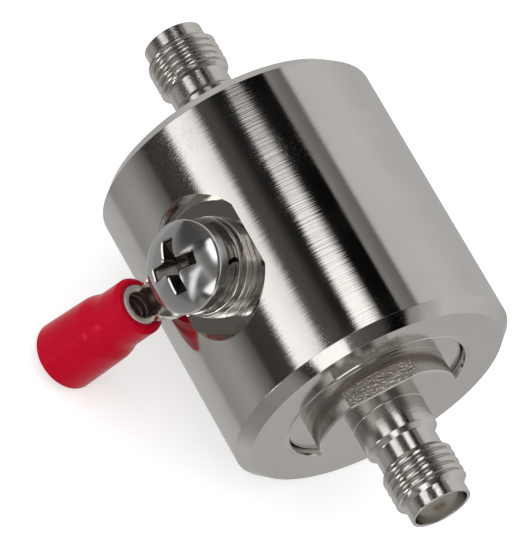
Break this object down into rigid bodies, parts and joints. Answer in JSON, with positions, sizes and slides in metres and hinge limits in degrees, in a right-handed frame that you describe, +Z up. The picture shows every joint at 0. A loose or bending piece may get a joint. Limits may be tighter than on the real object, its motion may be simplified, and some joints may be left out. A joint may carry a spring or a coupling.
{
  "type": "coaxial surge protector",
  "caption": "Inline surge protector for a coaxial radio line: round metal housing, threaded jack at each end, earthing screw with a sleeved ring terminal on its side.",
  "frame": {"origin": "middle of the housing on its axis", "axes": "+X along the housing axis out of the near jack, +Z up; it lies on its side on Z -12.5 mm"},
  "size_m": [0.048, 0.0325, 0.025],
  "materials": {
    "nickel_plated_brass": "bright nickel plate over fine turning marks",
    "nickel_plated_jack": "bright nickel plate, flats left as milled",
    "zinc_plated_steel": "polished",
    "tinned_copper": "bright tin plate",
    "red_vinyl": "soft, satin",
    "white_insulator": "waxy white",
    "gold_contact": "gold flash",
    "bare_conductor": "bright drawn",
    "ceramic": "glazed ceramic",
    "black_rubber": "matte"
  },
  "bodies": {
    "housing": {"housing": "nickel_plated_brass", "near_plug": "nickel_plated_jack", "far_plug": "nickel_plated_jack", "near_seal": "black_rubber", "far_seal": "black_rubber", "near_bead": "white_insulator", "far_bead": "white_insulator", "near_insulator": "white_insulator", "far_insulator": "white_insulator", "near_contact": "gold_contact", "far_contact": "gold_contact", "centre_conductor": "bare_conductor", "gas_tube_ring": "ceramic", "gas_tube_line_cap": "zinc_plated_steel", "gas_tube_earth_cap": "zinc_plated_steel", "gas_tube_spring": "bare_conductor"},
    "washers": {"flat_washer": "zinc_plated_steel", "lock_washer": "zinc_plated_steel"},
    "screw": {"earth_screw": "zinc_plated_steel"},
    "lug": {"ring_terminal": "tinned_copper", "terminal_sleeve": "red_vinyl"}
  },
  "joints": [
    {"name": "lug_swivel", "type": "hinge", "parent": "housing", "child": "lug", "pos_m": [0, 0, 0], "axis": [0, -0.9317, 0.3633], "range_deg": [0, 24]},
    {"name": "screw_travel", "type": "slide", "parent": "housing", "child": "washers", "axis": [0, -0.9317, 0.3633], "range_m": [0, 0.003]},
    {"name": "screw_turn", "type": "hinge", "parent": "washers", "child": "screw", "pos_m": [0, 0, 0], "axis": [0, -0.9317, 0.3633], "range_deg": [0, 1545]}
  ],
  "couplings": [
    {"joint": "screw_turn", "follows": "screw_travel", "rad_per_m": 8976}
  ]
}
